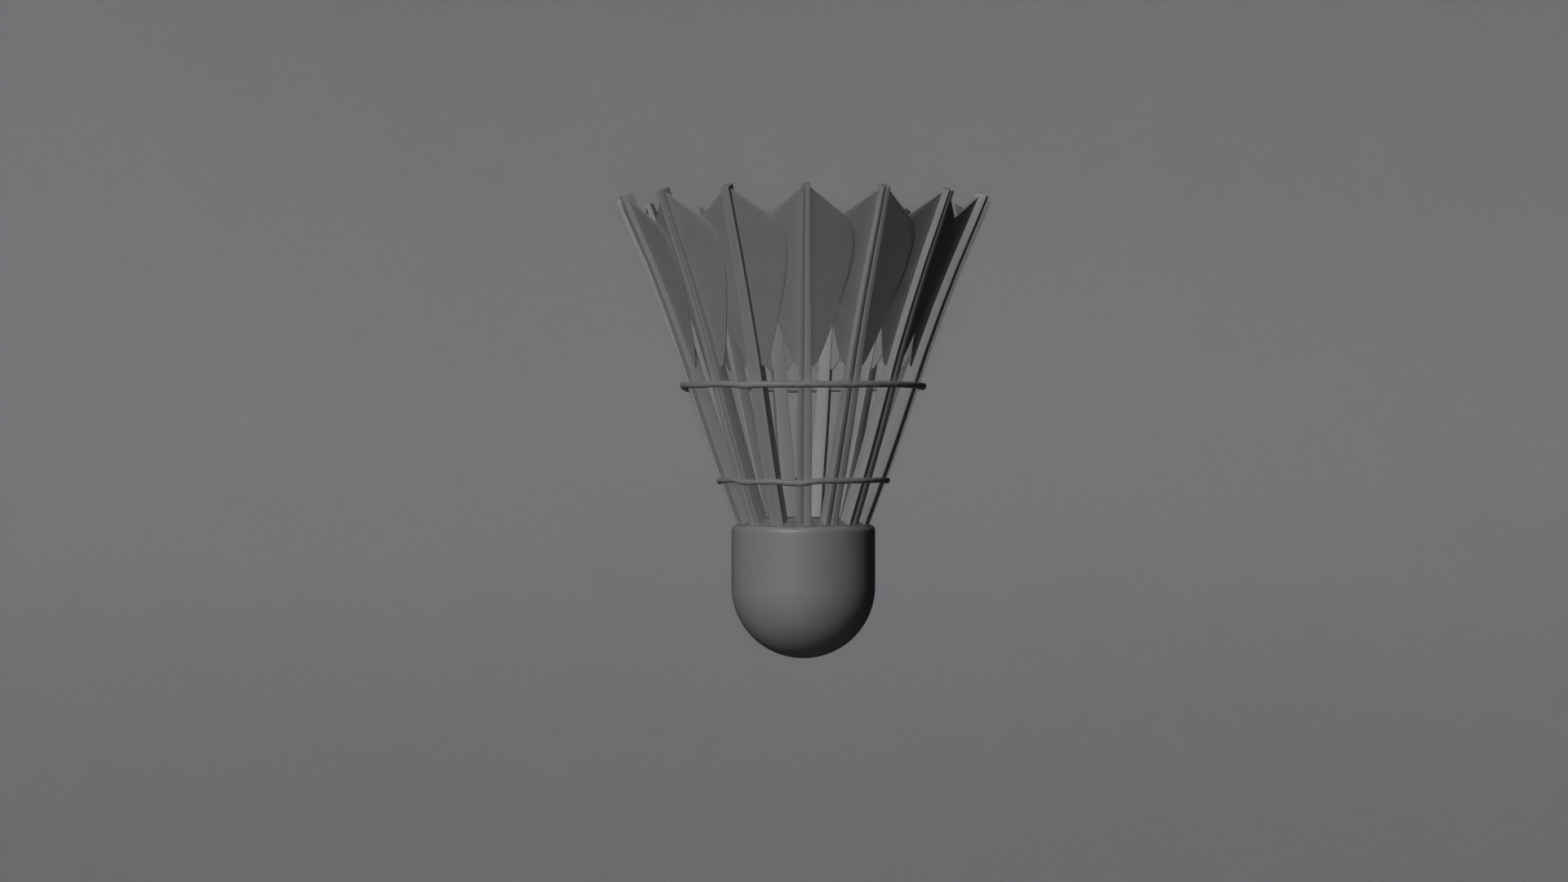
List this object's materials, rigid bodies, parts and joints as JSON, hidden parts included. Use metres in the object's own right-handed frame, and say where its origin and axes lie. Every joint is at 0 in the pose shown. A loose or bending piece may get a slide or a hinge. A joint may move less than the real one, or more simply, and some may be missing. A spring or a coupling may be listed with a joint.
{
  "type": "feather shuttlecock",
  "caption": "Feather badminton shuttlecock with a leather-covered cork base, overlapping vanes and two thread rings.",
  "frame": {"origin": "lowest point of the rounded cork nose, on the central axis", "axes": "+Z along the axis from the cork nose to the feather tips; feather 01 is on the -Y side"},
  "size_m": [0.0684, 0.0681, 0.0835],
  "materials": {
    "quill": "satin keratin",
    "vane": "matt feather barbs",
    "cork": "matt ground cork",
    "cover": "smooth matt kid leather",
    "thread": "waxed and glued thread"
  },
  "bodies": {
    "root": {"feather_01_shaft": "quill", "feather_01_vane_over": "vane", "feather_01_vane_under": "vane", "feather_02_shaft": "quill", "feather_02_vane_over": "vane", "feather_02_vane_under": "vane", "feather_03_shaft": "quill", "feather_03_vane_over": "vane", "feather_03_vane_under": "vane", "feather_04_shaft": "quill", "feather_04_vane_over": "vane", "feather_04_vane_under": "vane", "feather_05_shaft": "quill", "feather_05_vane_over": "vane", "feather_05_vane_under": "vane", "feather_06_shaft": "quill", "feather_06_vane_over": "vane", "feather_06_vane_under": "vane", "feather_07_shaft": "quill", "feather_07_vane_over": "vane", "feather_07_vane_under": "vane", "feather_08_shaft": "quill", "feather_08_vane_over": "vane", "feather_08_vane_under": "vane", "feather_09_shaft": "quill", "feather_09_vane_over": "vane", "feather_09_vane_under": "vane", "feather_10_shaft": "quill", "feather_10_vane_over": "vane", "feather_10_vane_under": "vane", "feather_11_shaft": "quill", "feather_11_vane_over": "vane", "feather_11_vane_under": "vane", "feather_12_shaft": "quill", "feather_12_vane_over": "vane", "feather_12_vane_under": "vane", "feather_13_shaft": "quill", "feather_13_vane_over": "vane", "feather_13_vane_under": "vane", "feather_14_shaft": "quill", "feather_14_vane_over": "vane", "feather_14_vane_under": "vane", "feather_15_shaft": "quill", "feather_15_vane_over": "vane", "feather_15_vane_under": "vane", "cork_nose": "cork", "cork_middle": "cork", "cork_upper": "cork", "leather_cover": "cover", "thread_ring_upper": "thread", "thread_ring_lower": "thread"}
  },
  "joints": []
}
